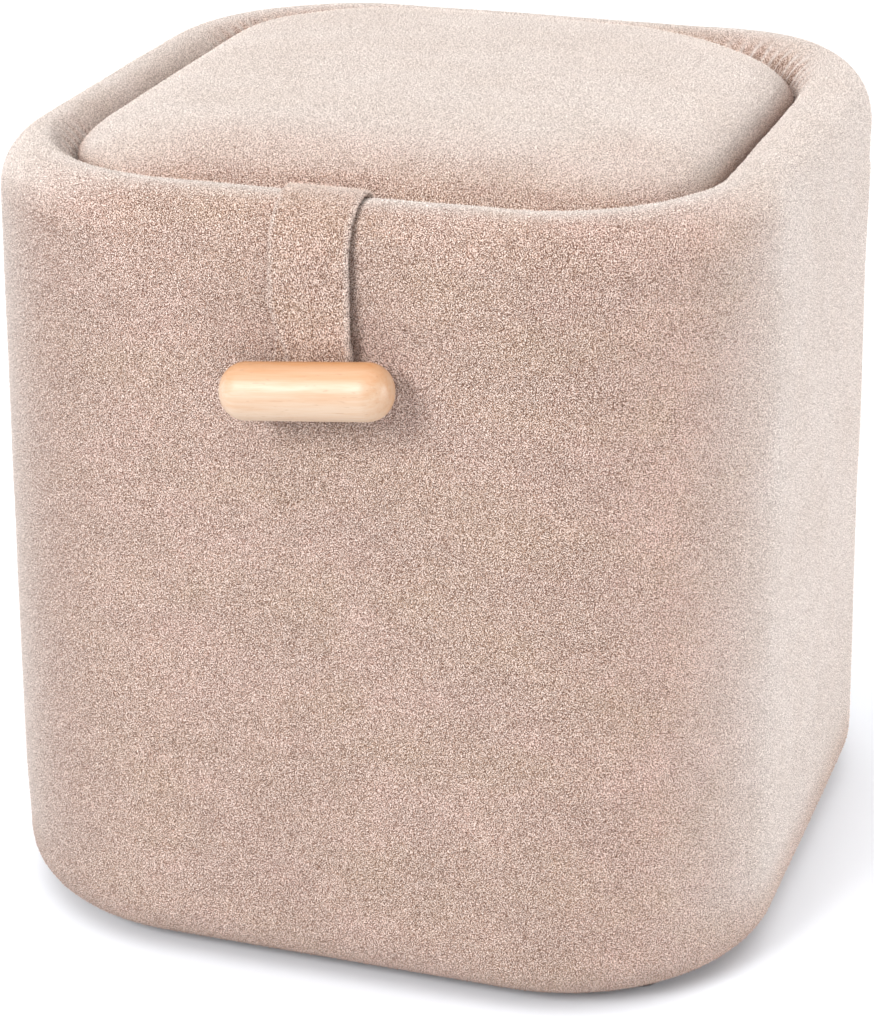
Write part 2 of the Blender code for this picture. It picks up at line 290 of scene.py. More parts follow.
def start_ring(bm, points):
    """A ring of vertices at the points. Each remembers its number in the layer 'place'."""
    place = bm.verts.layers.int.new("place")
    made = bmesh.ops.create_circle(bm, cap_ends=False, segments=len(points), radius=1.0)
    for number, vert in enumerate(made["verts"]):
        vert[place] = number
        vert.co = points[number]
    return list(bm.edges)


def extruded(bm, edges):
    """Extrude a loop of edges. Returns its new vertices and its new edges."""
    made = bmesh.ops.extrude_edge_only(bm, edges=edges)["geom"]
    new = {item for item in made if isinstance(item, bmesh.types.BMVert)}
    return new, [item for item in made
                 if isinstance(item, bmesh.types.BMEdge) and set(item.verts) <= new]


def next_ring(bm, edges, points):
    """Extrude a ring and lay the new one on the points. Returns the new ring's edges."""
    place = bm.verts.layers.int["place"]
    new, edges = extruded(bm, edges)
    for vert in new:
        vert.co = points[vert[place]]
    return edges


def shrink_edge(bm, edges, factor, height):
    """Extrude an edge loop, scale it about the box's middle in plan and set its height."""
    new, edges = extruded(bm, edges)
    for vert in new:
        vert.co = BOX_MIDDLE + (vert.co - BOX_MIDDLE) * factor
        vert.co.z = height
    return edges


def push_out(bm, amount):
    """Move each vertex along its normal by amount(place, normal) metres."""
    bm.normal_update()
    moves = [(vert, vert.normal * amount(vert.co, vert.normal)) for vert in bm.verts]
    for vert, move in moves:
        vert.co += move


def bump(distance, width):
    """A smooth hump, 1 at its middle and nearly 0 at its width."""
    return math.exp(-(distance / (0.5 * width)) ** 2)


def ramp(low, high, value):
    """From 0 at low to 1 at high, softly. Low may be the greater."""
    level = min(1.0, max(0.0, (value - low) / (high - low)))
    return level * level * (3 - 2 * level)


def row_value(rows, height):
    """Left and right edge from a table of rows at a height."""
    heights, lefts, rights = zip(*rows)
    return float(np.interp(height, heights, lefts)), float(np.interp(height, heights, rights))


# ---------------------------------------------------------------- help with node trees

def add_node(tree, kind, inputs=(), **settings):
    """A node with its settings, and its sockets linked or set by name or number."""
    node = tree.nodes.new(kind)
    for name, value in settings.items():
        setattr(node, name, value)
    for socket, value in dict(inputs).items():
        plug(tree, node.inputs[socket], value)
    return node


def plug(tree, socket, value):
    """Link a socket to another, or set its value."""
    if isinstance(value, bpy.types.NodeSocket):
        tree.links.new(value, socket)
    else:
        socket.default_value = value


SKEW = (0.61, 0.37, 0.93)    # turns noise off the axes, where its lattice would show


class Finish:
    """A Principled material while its nodes are put together."""

    def __init__(self, name, roughness):
        self.material = bpy.data.materials.new(name)
        self.material.use_nodes = True
        self.tree = self.material.node_tree
        self.give(Roughness=roughness)

    def give(self, **inputs):
        """Link or set inputs of the shader, with _ for each space in their names."""
        shader = self.tree.nodes["Principled BSDF"]
        for name, value in inputs.items():
            plug(self.tree, shader.inputs[name.replace("_", " ")], value)

    def node(self, kind, inputs=(), **settings):
        """A shader node."""
        return add_node(self.tree, "ShaderNode" + kind, inputs, **settings)

    def place(self, scale=(1, 1, 1), turn=(0, 0, 0), middle=(0, 0, 0), skew=SKEW):
        """Object coordinates from a middle, turned, then stretched, then turned off the axes."""
        own = self.node("TexCoord").outputs["Object"]
        centred = self.node("VectorMath", {0: own, 1: middle}, operation="SUBTRACT")
        turned = self.node("Mapping", {"Vector": centred.outputs[0], "Rotation": turn})
        skewed = {"Vector": turned.outputs[0], "Scale": scale, "Rotation": skew}
        return self.node("Mapping", skewed).outputs[0]

    def noise(self, place, size, detail=2.0, rough=0.5, warp=0.0):
        """Noise whose features are about size metres wide."""
        inputs = {"Vector": place, "Scale": 1.0 / size, "Detail": detail, "Roughness": rough,
                  "Distortion": warp}
        return self.node("TexNoise", inputs).outputs["Fac"]

    def ranged(self, value, low, high, new_low=0.0, new_high=1.0, way="LINEAR"):
        """Map a value from one range to another, held inside it."""
        inputs = {"Value": value, "From Min": low, "From Max": high, "To Min": new_low,
                  "To Max": new_high}
        return self.node("MapRange", inputs, interpolation_type=way).outputs["Result"]

    def combine(self, operation, first, second):
        """One value worked out from two."""
        return self.node("Math", {0: first, 1: second}, operation=operation).outputs[0]

    def times(self, first, *factors):
        """The product of a value and its factors."""
        for factor in factors:
            first = self.combine("MULTIPLY", first, factor)
        return first

    def mix(self, amount, first, second):
        """Mix two colours."""
        node = self.node("Mix", {"Factor": amount}, data_type="RGBA")
        sockets = [socket for socket in node.inputs if socket.type == "RGBA"]
        for socket, value in zip(sockets, (first, second)):
            linked = isinstance(value, bpy.types.NodeSocket)
            plug(self.tree, socket, value if linked else (*value, 1.0))
        return next(socket for socket in node.outputs if socket.type == "RGBA")

    def carried(self, name, output="Fac"):
        """A value that the mesh carries in an attribute."""
        return self.node("Attribute", attribute_name=name).outputs[output]

    def split(self, vector):
        """The X, Y and Z parts of a vector."""
        return self.node("SeparateXYZ", {0: vector}).outputs

    def raise_by(self, height, distance, strength=1.0):
        """Raise the surface by a height of distance metres."""
        inputs = {"Height": height, "Distance": distance, "Strength": strength}
        self.give(Normal=self.node("Bump", inputs).outputs[0])


# ---------------------------------------------------------------- finishes

GRAIN_SIZE = 0.00044         # half of the way from curl to curl
CLUMP_SIZE = 0.0010          # curls that stand together, seen along the cloth
MOTTLE_SIZE = 0.010          # small soft patches
LAID_SIZE = 0.022            # patches of pile that lies down
PATCH_SIZE = 0.038           # patches where a hand has brushed the pile
PATCH_STRETCH = (0.55, 1, 1)  # they are longer across the front than they are high
PATCH_SKEW = (0.1, 0.2, 0.1)  # and lean a little
LAID_DEEP = 0.56             # how much deeper in tone the laid pile is
MOTTLE_DEEP = 0.28
LEFT_SHEEN_CUT = 0.28              # pile that faces left at the front corner gets less painted sheen
LEFT_SHADE = 0.72             # and painted shade there
LEFT_PIT_SHADE = 0.09             # and more painted pit shade there
# painted shade in the pits between the curls
PIT_SHADE = 0.90
TUFT_PIT_SHADE = 0.70        # painted shade at the roots of real tufts
TIP_LIGHT = 0.85
TUFT_TIP_LIGHT = 0.25
SHEEN_IN_PITS = 0.66         # share of the painted pit shade that is left where the painted sheen is
GRAIN_RELIEF = 0.00055


def fleece_material(name, comb=1.0, comb_turn=0.0, warm=0.5, sheen_most=1.0, dark=0.0, tufts=False):
    """Short-pile fleece with painted sheen and painted shade. comb stretches the grain along the
    pile, and tufts adds their tips.
    """
    tones = bpy.context.scene.pouf_colours
    make = Finish(name, 0.95)
    plain = make.place()
    brushed = make.place(scale=PATCH_STRETCH, skew=PATCH_SKEW)
    # painted shade and the strap's painted edge highlight, carried by the meshes
    shade, edge = make.carried("shade"), make.carried("edge")

    # tones of the brushed patches
    patch = make.ranged(make.noise(brushed, PATCH_SIZE, 2.5, 0.55, 0.3), 0.38, 0.62)
    mottle = make.ranged(make.noise(plain, MOTTLE_SIZE, 3.0, 0.6), 0.30, 0.70)
    hue = make.combine("ADD", make.times(patch, 0.6), make.times(mottle, 0.4))
    hue = make.ranged(hue, 0.5 - warm, 1.5 - warm)
    cloth = make.mix(hue, tones.fleece_olive, tones.fleece_pink)
    laid = make.noise(brushed, LAID_SIZE, 2.0, 0.5, 0.4)
    laid = make.ranged(laid, 0.35, 0.60, LAID_DEEP, 0.0)
    for amount in (laid, make.ranged(mottle, 0.0, 1.0, MOTTLE_DEEP, 0.0), dark):
        cloth = make.mix(amount, cloth, tones.fleece_deep_and_shade)
    # painted highlight on the strap's beaded edges
    cloth = make.mix(make.ranged(edge, 0.0, 1.0, 0.0, 0.7), cloth, tones.fleece_tip_and_highlight)

    # painted shade on pile that faces left at the front corner, and in the crevice. Tufts face as
    # the cloth under them does
    if tufts:
        facing = make.carried("ground", "Vector")
    else:
        facing = make.node("NewGeometry").outputs["Normal"]
    x, y, z = make.split(facing)
    # painted shade on pile that faces left and forward at the front left corner
    left = make.times(make.ranged(x, -0.62, 0.02, 1.0, 0.0, "SMOOTHSTEP"),
                      make.ranged(z, 0.1, 0.6, 1.0, 0.0),
                      make.ranged(y, -0.45, 0.0, 1.0, 0.0, "SMOOTHSTEP"))
    cloth = make.mix(make.times(left, LEFT_SHADE), cloth, tones.fleece_deep_and_shade)
    # painted shade from the attribute 'shade'
    cloth = make.mix(make.ranged(shade, 0.4, 1.0, 0.0, 0.85), cloth, tones.crevice)

    # light ends of the curls, and painted shade in the pits between them
    combed = make.place(scale=(1, 1, 1 / comb), turn=(0, comb_turn, 0))
    grain = make.noise(combed, GRAIN_SIZE, 1.0, 0.5, 0.25)
    cloth = make.mix(make.ranged(grain, 0.50, 0.60, 0.0, TIP_LIGHT), cloth, tones.fleece_tip_and_highlight)
    depth = make.ranged(grain, 0.43, 0.495, PIT_SHADE, 0.0)
    clumps = make.noise(plain, CLUMP_SIZE, 1.0, 0.5, 0.2)
    glance = make.node("LayerWeight", {"Blend": 0.5})
    if tufts:
        tip = make.carried("tip")
        plug(make.tree, glance.inputs["Normal"], facing)
        depth = make.ranged(tip, 0.0, 0.6, TUFT_PIT_SHADE, 0.0)
        cloth = make.mix(make.ranged(tip, 0.5, 1.0, 0.0, TUFT_TIP_LIGHT), cloth, tones.fleece_tip_and_highlight)

    # painted sheen: pile seen along the cloth is mixed toward a pale colour, less where it faces
    # down, where it lies in painted shade and near the strap's edges
    along = make.combine("SUBTRACT", glance.outputs["Facing"], make.times(left, LEFT_SHEEN_CUT))
    pale = make.times(make.ranged(along, 0.19, 0.68, 0.0, sheen_most),
                      make.ranged(z, -0.5, -0.02),
                      make.ranged(edge, 0.0, 1.0, 1.0, 0.15),
                      make.ranged(shade, 0.0, 0.6, 1.0, 0.1))
    if not tufts:
        pale = make.times(pale, make.ranged(grain, 0.42, 0.52, 0.6, 1.0))
        make.raise_by(make.ranged(grain, 0.36, 0.62), GRAIN_RELIEF)
    pale = make.times(pale, make.ranged(patch, 0.0, 1.0, 0.90, 1.0))
    cloth = make.mix(pale, cloth, tones.fleece_sheen)
    # painted shade: in the pits, in the gaps between clumps where the sheen is, and more at the
    # front left
    deep = make.times(depth, make.ranged(pale, 0.0, 1.0, 1.0, SHEEN_IN_PITS))
    between = make.times(make.ranged(clumps, 0.38, 0.50, 0.4, 0.0), pale)
    deep = make.combine("ADD", make.combine("MAXIMUM", deep, between), make.times(left, LEFT_PIT_SHADE))
    make.give(Base_Color=make.mix(deep, cloth, tones.pit), Specular_IOR_Level=0.06,
              Sheen_Weight=0.24, Sheen_Roughness=0.45, Sheen_Tint=(1.0, 0.93, 0.88, 1.0))
    return make.material


TOP_REFLECTION_SHADE = 0.95            # painted warm reflection and shade on the toggle's upper side
GROWTH_DEEP = 0.38           # bands of growth along it
RIGHT_DEEP = 0.34            # and its right end is a little deeper


def beech_material():
    """Turned beech, satin, with its grain along the toggle, short flecks, and a painted warm
    reflection and shade on its upper side.
    """
    tones = bpy.context.scene.pouf_colours
    toggle = bpy.context.scene.pouf_toggle
    make = Finish("beech_satin", 0.42)
    own = {"turn": (0, toggle.tilt, 0),
           "middle": (toggle.centre_x, toggle_axis_y(), toggle.centre_z)}
    along = make.place(scale=(0.06, 1, 1), **own)
    growth = make.noise(along, 0.0042, 3.0, 0.6, 0.4)
    fine = make.noise(along, 0.0007, 2.0, 0.6)
    x, _, z = make.split(make.place(skew=(0, 0, 0), **own))
    top_reflection_shade = make.ranged(z, 0.42 * toggle.radius, 1.12 * toggle.radius)
    right = make.ranged(x, 0.36 * toggle.long, 0.50 * toggle.long, 0.0, RIGHT_DEEP)
    bands = make.ranged(growth, 0.42, 0.68, 0.0, GROWTH_DEEP)
    deep = make.combine("ADD", make.times(top_reflection_shade, TOP_REFLECTION_SHADE), bands)
    deep = make.combine("ADD", deep, right)
    wood = make.mix(make.ranged(deep, 0.0, 1.15), tones.beech, tones.beech_deep_and_top_shade)
    wood = make.mix(make.ranged(fine, 0.45, 0.75, 0.0, 0.20), wood, tones.beech_deep_and_top_shade)
    flecks = make.noise(make.place(scale=(0.22, 1, 1), **own), 0.0011, 1.0, 0.5)
    wood = make.mix(make.ranged(flecks, 0.67, 0.75, 0.0, 0.30), wood, tones.beech_fleck)
    make.give(Base_Color=wood, Roughness=make.ranged(fine, 0.3, 0.7, 0.38, 0.50),
              Coat_Weight=0.34, Coat_Roughness=0.44)
    make.raise_by(fine, 0.00003, 0.5)
    return make.material


def times_colour(colour, factor):
    """A colour made darker or lighter."""
    return tuple(factor * part for part in colour)


def board_material():
    """Dark non-woven cloth on the base board: matted fibres with a dotted press mark."""
    tones = bpy.context.scene.pouf_colours
    make = Finish("base_nonwoven", 0.85)
    place = make.place()
    fibres = make.noise(place, 0.0012, 4.0, 0.7, 1.5)
    dots = make.node("TexVoronoi", {"Vector": place, "Scale": 1 / 0.0022, "Randomness": 0.15})
    pressed = make.ranged(dots.outputs["Distance"], 0.10, 0.32)
    dark, light = times_colour(tones.board, 0.45), times_colour(tones.board, 2.1)
    tone = make.mix(make.ranged(fibres, 0.3, 0.7), dark, light)
    make.give(Base_Color=make.mix(make.ranged(pressed, 0.0, 1.0, 0.55, 0.0), tone, dark))
    make.raise_by(make.combine("ADD", pressed, fibres), 0.0002, 0.7)
    return make.material


def glide_material():
    """Black moulded plastic with a fine spark texture."""
    tones = bpy.context.scene.pouf_colours
    make = Finish("glide_plastic", 0.45)
    grain = make.noise(make.place(), 0.0005, 2.0, 0.6)
    black, grey = tuple(tones.glide), times_colour(tones.glide, 2.2)
    make.give(Base_Color=make.mix(make.ranged(grain, 0.35, 0.75), black, grey),
              Roughness=make.ranged(grain, 0.3, 0.7, 0.38, 0.55))
    make.raise_by(grain, 0.00004, 0.6)
    return make.material


# ---------------------------------------------------------------- shapes of the box

FRONT_QUARTER = 3            # the side that faces -Y
SIDE_COLUMNS = 40
CORNER_COLUMNS = 72
SEAM_COLUMN = 0.0011         # columns are this close near the front seam
SEAM_ROOM = (0.004, 0.005)   # and reach this far past it, left and right
SEAM_BREAK = 0.008           # share of the side that is free of wider columns next to them


def ring_places():
    """Places round a rounded square, as (quarter, on the straight side, share along it)."""
    sizes = bpy.context.scene.pouf_cover
    straight = (COVER_HIGH.x - COVER_LOW.x) / 2 - sizes.corner
    seam_low, seam_high = sizes.seam_foot_x - SEAM_ROOM[0], sizes.seam_top_x + SEAM_ROOM[1]
    places = []
    for quarter in range(4):
        shares = list(np.linspace(0, 1, SIDE_COLUMNS, endpoint=False))
        if quarter == FRONT_QUARTER:
            fine = np.arange(seam_low, seam_high, SEAM_COLUMN)
            close = [(x + straight) / (2 * straight) for x in fine]
            low, high = close[0] - SEAM_BREAK, close[-1] + SEAM_BREAK
            far = [s for s in shares if not low < s < high]
            shares = sorted(far + close)
        places += [(quarter, True, s) for s in shares]
        places += [(quarter, False, s) for s in np.linspace(0, 1, CORNER_COLUMNS, endpoint=False)]
    return places


def square_ring(places, half, corner, swell, height):
    """Points of a rounded square with softly swelling sides, round the box's middle."""
    straight = half - corner
    points = []
    for quarter, on_side, part in places:
        if on_side:
            x, y = half, straight * (2 * part - 1)
        else:
            angle = part * math.pi / 2
            x, y = straight + corner * math.cos(angle), straight + corner * math.sin(angle)
        swollen = Vector((x + swell * (1 - (y / half) ** 2), y + swell * (1 - (x / half) ** 2)))
        swollen.rotate(Matrix.Rotation(quarter * math.pi / 2, 2))
        points.append(Vector((swollen.x, swollen.y, height)) + BOX_MIDDLE)
    return points


def wall_half(height):
    """Half width of the box at a height, where its cloth lies under the pile."""
    sizes = bpy.context.scene.pouf_cover
    foot = COVER_LOW.z + sizes.bottom_round
    foot_half = (COVER_HIGH.x - COVER_LOW.x) / 2 - sizes.swell
    return foot_half - sizes.lean * (height - foot) / (COVER_HIGH.z - foot) - sizes.under_pile


def rim_level(angle):
    """(half, corner, swell, height) of the rim's roll: 0 is its outer side, pi its inner."""
    sizes = bpy.context.scene.pouf_cover
    crest = COVER_HIGH.z - sizes.under_pile
    height = crest - sizes.roll_height * (1 - math.sin(angle))
    inward = (1 - math.cos(angle)) / 2
    outer_half = wall_half(height)
    inner_half = sizes.inner_half + sizes.under_pile
    half = outer_half + (inner_half - outer_half) * inward
    corner = sizes.corner + (sizes.inner_corner - sizes.corner) * inward
    swell = sizes.swell + (sizes.inner_swell - sizes.swell) * inward
    return half, corner, swell, height


WALL_STEPS = 58
ROLL_STEPS = 30
INNER_STEPS = 8
HOLLOW_STEPS = 12
BOTTOM_STEPS = 9


def cover_levels():
    """The cover's section, ring by ring: hollow, ledge, inner wall, rim, wall, bottom edge."""
    sizes = bpy.context.scene.pouf_cover
    panel_top = PANEL_HIGH.z + sizes.panel_gap
    panel_half = (PANEL_HIGH.x - PANEL_LOW.x) / 2 + sizes.panel_gap
    roll_foot = COVER_HIGH.z - sizes.under_pile - sizes.roll_height
    wall_foot = COVER_LOW.z + sizes.bottom_round
    inner_half = sizes.inner_half + sizes.under_pile
    levels = []
    for height in np.linspace(panel_top, sizes.ledge, HOLLOW_STEPS + 1):
        levels.append((sizes.hollow_half, sizes.hollow_corner, 0.0, height))
    for part in (0.5, 1.0):
        levels.append((sizes.hollow_half + (inner_half - sizes.hollow_half) * part,
                       sizes.hollow_corner + (sizes.inner_corner - sizes.hollow_corner) * part,
                       sizes.inner_swell * part, sizes.ledge))
    for height in np.linspace(sizes.ledge, roll_foot, INNER_STEPS + 1)[1:-1]:
        levels.append((inner_half, sizes.inner_corner, sizes.inner_swell, height))
    for angle in np.linspace(math.pi, 0, ROLL_STEPS + 1):
        levels.append(rim_level(angle))
    for height in np.linspace(roll_foot, wall_foot, WALL_STEPS + 1)[1:]:
        levels.append((wall_half(height), sizes.corner, sizes.swell, height))
    for angle in np.linspace(0, math.pi / 2, BOTTOM_STEPS + 1)[1:]:
        inward = sizes.bottom_round * (1 - math.cos(angle))
        levels.append((wall_half(wall_foot) - inward, sizes.corner - inward, sizes.swell,
                       wall_foot - (sizes.bottom_round - sizes.under_pile) * math.sin(angle)))
    under = levels[-1][3]
    levels.append((panel_half, sizes.panel_corner + sizes.panel_gap, 0.0, under))
    levels.append((panel_half, sizes.panel_corner + sizes.panel_gap, 0.0, panel_top))
    return levels


def seam_x(height):
    """Where the front seam is at a height."""
    sizes = bpy.context.scene.pouf_cover
    return sizes.seam_foot_x + (sizes.seam_top_x - sizes.seam_foot_x) * height / COVER_HIGH.z


def back_corner(side, height):
    """Extra fullness of the back right corner, more toward the rim."""
    sizes = bpy.context.scene.pouf_cover
    corner = ramp(0.075, 0.150, side.x) * ramp(0.06, 0.150, side.y)
    return sizes.corner_fullness * corner * ramp(0.30, 0.385, height)


def cover_relief(place, normal):
    """How far the cover's cloth stands out or in at a place: seam, puckers, dent, unevenness."""
    sizes = bpy.context.scene.pouf_cover
    side = place - BOX_MIDDLE
    height = place.z
    roll_foot = COVER_HIGH.z - sizes.roll_height
    out = max(abs(side.x), abs(side.y))
    if out < sizes.inner_half - 0.004 and height < sizes.ledge + 0.001:
        return 0.0
    raised = 0.0
    outward = (side.x * normal.x + side.y * normal.y) / side.xy.length

    # the upright seam in the front
    if normal.y < -0.8 and outward > 0:
        across = side.x - seam_x(height)
        ease = ramp(COVER_LOW.z, COVER_LOW.z + 0.02, height)
        waver = 0.6 + 1.2 * noise.noise(Vector((0.0, 3.0, height * 160)))
        raised -= sizes.seam_depth * waver * ease * bump(across, sizes.seam_width)

    # the rim, the fuller left wall and the padding's unevenness
    if height > sizes.ledge + 0.002:
        raised += rim_relief(side, height, roll_foot, outward)
    elif outward > 0:
        raised += back_corner(side, height)
    if outward > 0:
        upright = ramp(0.02, 0.07, height) * ramp(COVER_HIGH.z + 0.002, COVER_HIGH.z - 0.02, height)
        raised += sizes.left_fullness * upright * ramp(-0.12, -0.18, side.x)
    if height < COVER_LOW.z + 0.0015:
        return 0.0
    wide = noise.noise(place * 11.0) + 0.5 * noise.noise(place * 27.0 + Vector((5, 0, 0)))
    ease = ramp(COVER_LOW.z, COVER_LOW.z + 0.03, height)
    return raised + sizes.unevenness * ease * wide


PUCKER_PITCH = 0.0068        # from one pucker to the next, round the corner


def rim_relief(side, height, roll_foot, outward):
    """Relief of the rim: the strap's dent, fuller sides, puckers in its inner corners."""
    sizes = bpy.context.scene.pouf_cover
    raised = 0.0

    # the strap's dent, and fuller sides at the right and the back right
    if side.y < 0:
        left, right = row_value(STRAP_FRONT_ROWS, height)
        inside_strap = min(side.x - left, right - side.x)
        on_rim = ramp(roll_foot - 0.03, roll_foot + 0.01, height)
        raised -= sizes.dent * on_rim * ramp(-0.005, 0.003, inside_strap)
    right = ramp(0.10, 0.16, side.x)
    raised += sizes.right_fullness * right * (1.0 - 1.6 * ramp(-0.5, 0.8, outward))
    raised += back_corner(side, height) * ramp(-0.6, 0.2, outward)

    # puckers round the inner corners, where the cloth is gathered
    inward = outward < 0
    low = 1.0 - ramp(COVER_HIGH.z - 0.007, COVER_HIGH.z - 0.001, height)
    straight = sizes.inner_half - sizes.inner_corner
    from_corner = Vector((abs(side.x) - straight, abs(side.y) - straight))
    if inward and min(from_corner) > -0.02:
        angle = math.atan2(from_corner.y, from_corner.x)
        near = bump(angle - math.pi / 4, 1.15)
        if side.x < 0 and side.y < 0:
            raised -= sizes.tightness * near * ramp(-0.05, -0.7, outward)
        which = 17.0 * (side.x > 0) + 31.0 * (side.y > 0)
        run = angle * sizes.inner_corner / PUCKER_PITCH
        wander = noise.noise(Vector((run * 0.45, which, height * 30)))
        strong = 0.55 + 0.9 * noise.noise(Vector((run * 0.8, which + 7.0, 0.0)))
        fold = math.cos(2 * math.pi * run + 2.2 * wander)
        raised += sizes.pucker * near * low * strong * fold
    if inward:
        raised += 0.5 * sizes.unevenness * noise.noise(side * 55.0 + Vector((0, 0, height * 20)))
    return raised


def zone_of(centre, normal):
    """Which stretch of pile a face of the cover belongs to. 0 is bare: the foot and the hollow."""
    sizes = bpy.context.scene.pouf_cover
    side = centre - BOX_MIDDLE
    inner = side.x * normal.x + side.y * normal.y < 0
    in_hollow = inner or max(abs(side.x), abs(side.y)) < sizes.inner_half
    if centre.z < COVER_LOW.z + 0.0008 or (in_hollow and centre.z < sizes.ledge + 0.0005):
        return 0
    if inner or centre.z > COVER_HIGH.z - sizes.roll_height:
        return 5
    if abs(normal.y) > abs(normal.x):
        return 1 if normal.y < 0 else 3
    return 2 if normal.x > 0 else 4


# ---------------------------------------------------------------- shapes of the lid

def pad_point(u, v, half, corner, swell):
    """A point of a rounded square's inside for u and v from -1 to 1, keeping arc lengths."""
    reach = max(abs(u), abs(v))
    if reach < 1e-9:
        return Vector((0.0, 0.0))
    quarter = round(math.atan2(v, u) / (math.pi / 2)) % 4
    along = Vector((u, v))
    along.rotate(Matrix.Rotation(-quarter * math.pi / 2, 2))
    straight = half - corner
    run = along.y / reach * (straight + corner * math.pi / 4)
    if abs(run) <= straight:
        x, y = half, run
    else:
        angle = (abs(run) - straight) / corner
        x = straight + corner * math.cos(angle)
        y = math.copysign(straight + corner * math.sin(angle), run)
    point = Vector((x + swell * (1 - (y / half) ** 2), y + swell * (1 - (x / half) ** 2)))
    point.rotate(Matrix.Rotation(quarter * math.pi / 2, 2))
    return point * reach


EDGE_CLOSENESS = 1.8         # above 1 the crown's cells are finer towards its edge
SIDE_PARTS = (0.25, 0.5, 0.75, 1.0)                 # rings down the lid's side
FOOT_ROUND = 0.004                                  # rounding of its foot
FOOT_RINGS = ((0.0012, 0.0012), (FOOT_ROUND, 0.0))  # inset and height of rings round that
UNDER_PARTS = (0.9, 0.6, 0.3, 0.1)                  # rings across its underside


def crown_height(reach, crown):
    """Height of the crown above the shoulder at a share of its half width."""
    sizes = bpy.context.scene.pouf_seat
    return crown * (1 - min(1.0, reach) ** sizes.power) ** sizes.roundness


def seat_mesh():
    """The lid: a grid laid over the crown, then its side and underside extruded from the edge."""
    sizes = bpy.context.scene.pouf_seat
    under_pile = bpy.context.scene.pouf_cover.under_pile
    tightness = bpy.context.scene.pouf_cover.tightness
    half = sizes.shoulder_half - under_pile
    crown = sizes.crown - sizes.puff
    bm = bmesh.new()
    bmesh.ops.create_grid(bm, x_segments=sizes.cells, y_segments=sizes.cells, size=1.0)
    for vert in bm.verts:
        flat = max(abs(vert.co.x), abs(vert.co.y))
        reach = 1 - (1 - flat) ** EDGE_CLOSENESS
        scale = reach / flat if flat > 0 else 0.0
        spot = pad_point(vert.co.x * scale, vert.co.y * scale, half, sizes.shoulder_corner,
                         sizes.swell)
        corner = min(abs(vert.co.x), abs(vert.co.y)) / max(flat, 1e-9)
        droop = 1 - sizes.droop * corner ** 2
        height = sizes.shoulder + crown_height(reach, crown) * droop
        back_right = ramp(0.3, 0.85, vert.co.x) * ramp(0.3, 0.85, vert.co.y)
        height -= sizes.back_droop * reach ** 6 * back_right
        front_left = ramp(-0.3, -0.9, vert.co.x) * ramp(-0.3, -0.9, vert.co.y)
        spot *= 1 + 0.7 * tightness * front_left * reach ** 4 / half
        vert.co = Vector((spot.x, spot.y, height)) + BOX_MIDDLE
    edges = [edge for edge in bm.edges if edge.is_boundary]
    foot = SEAT_LOW.z
    flat = sizes.foot_half - FOOT_ROUND
    drawn_in = sizes.foot_half - sizes.shoulder_half
    drop = foot + FOOT_ROUND - sizes.shoulder
    rings = [(half + drawn_in * part, sizes.shoulder + drop * part) for part in SIDE_PARTS]
    rings += [(sizes.foot_half - under_pile - inset, foot + up) for inset, up in FOOT_RINGS]
    rings += [(flat * part, foot) for part in UNDER_PARTS]
    for goal, height in rings:
        edges = shrink_edge(bm, edges, goal / half, height)
        half = goal
    bmesh.ops.holes_fill(bm, edges=edges, sides=0)
    return mesh_from("seat", bm)


PUFF_FRAMES = 20


def rows_of(items, name, width, kind=np.float64):
    """One property of a mesh's items as an array with a row for each."""
    flat = np.empty(len(items) * width, kind)
    items.foreach_get(name, flat)
    return flat.reshape(-1, width)


def evened(values, pairs, rounds=40):
    """Even values out between the vertices of a mesh that share an edge."""
    count = np.bincount(pairs.ravel(), minlength=len(values))[:, None]
    for _ in range(rounds):
        near = np.zeros_like(values)
        np.add.at(near, pairs[:, 0], values[pairs[:, 1]])
        np.add.at(near, pairs[:, 1], values[pairs[:, 0]])
        values = 0.5 * values + 0.5 * near / count
    return values


def puff_up(piece):
    """Let the filling push the crown's cloth out with Blender's cloth, held below the shoulder."""
    sizes = bpy.context.scene.pouf_seat
    start = rows_of(piece.data.vertices, "co", 3)
    held = piece.vertex_groups.new(name="held")
    low = np.flatnonzero(start[:, 2] < sizes.shoulder - 0.001)
    held.add([int(index) for index in low], 1.0, "REPLACE")
    cloth = piece.modifiers.new("puff", "CLOTH")
    cloth.collision_settings.use_collision = False
    cloth.settings.quality = 3
    cloth.settings.vertex_group_mass = held.name
    cloth.settings.use_pressure = True
    cloth.settings.uniform_pressure_force = 4.0
    cloth.settings.bending_stiffness = 2.0
    cloth.settings.effector_weights.gravity = 0.0
    scene = bpy.context.scene
    for number in range(1, PUFF_FRAMES + 1):
        scene.frame_set(number)
    puffed = piece.evaluated_get(bpy.context.evaluated_depsgraph_get())
    move = rows_of(puffed.to_mesh().vertices, "co", 3) - start
    puffed.to_mesh_clear()
    pairs = rows_of(piece.data.edges, "vertices", 2, np.int32)
    move = evened(move, np.sort(pairs, axis=1))
    far = np.linalg.norm(move, axis=1, keepdims=True)
    move *= np.minimum(1.0, sizes.puff / np.maximum(far, 1e-9))
    piece.modifiers.remove(cloth)
    piece.data.vertices.foreach_set("co", (start + move).ravel())
    piece.data.update()
    piece.vertex_groups.clear()
    scene.frame_set(1)


STRAP_ROOM = 0.0022          # the strap presses the side of the lid in by this much


